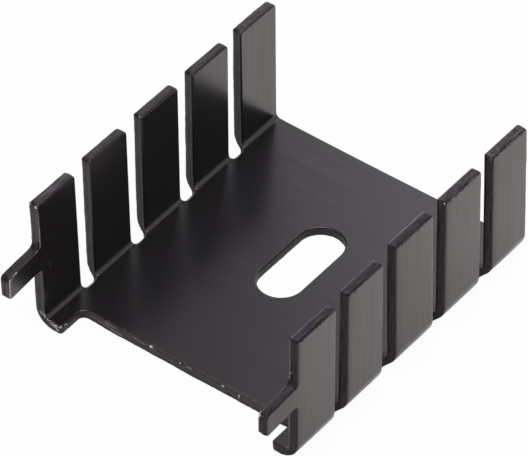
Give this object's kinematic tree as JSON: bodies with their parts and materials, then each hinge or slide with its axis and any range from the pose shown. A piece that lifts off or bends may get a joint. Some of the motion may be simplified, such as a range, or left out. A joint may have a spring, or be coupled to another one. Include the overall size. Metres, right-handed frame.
{
  "type": "heat sink",
  "caption": "Folded sheet-metal heat sink: a flat floor with a screw slot between two upright walls of fins, with a solder leg at the front of each wall.",
  "frame": {"origin": "centre of the screw slot, on the plane of the underside", "axes": "+X across the channel from one wall to the other, +Y along the fin rows from the solder legs to the back, +Z from the underside up towards the fin tips"},
  "size_m": [0.0218, 0.0283, 0.0109],
  "materials": {
    "black_anodised": "satin black anodised, with fine rolling lines and slightly lighter sheared edges"
  },
  "bodies": {
    "root": {"heat_sink": "black_anodised"}
  },
  "joints": []
}
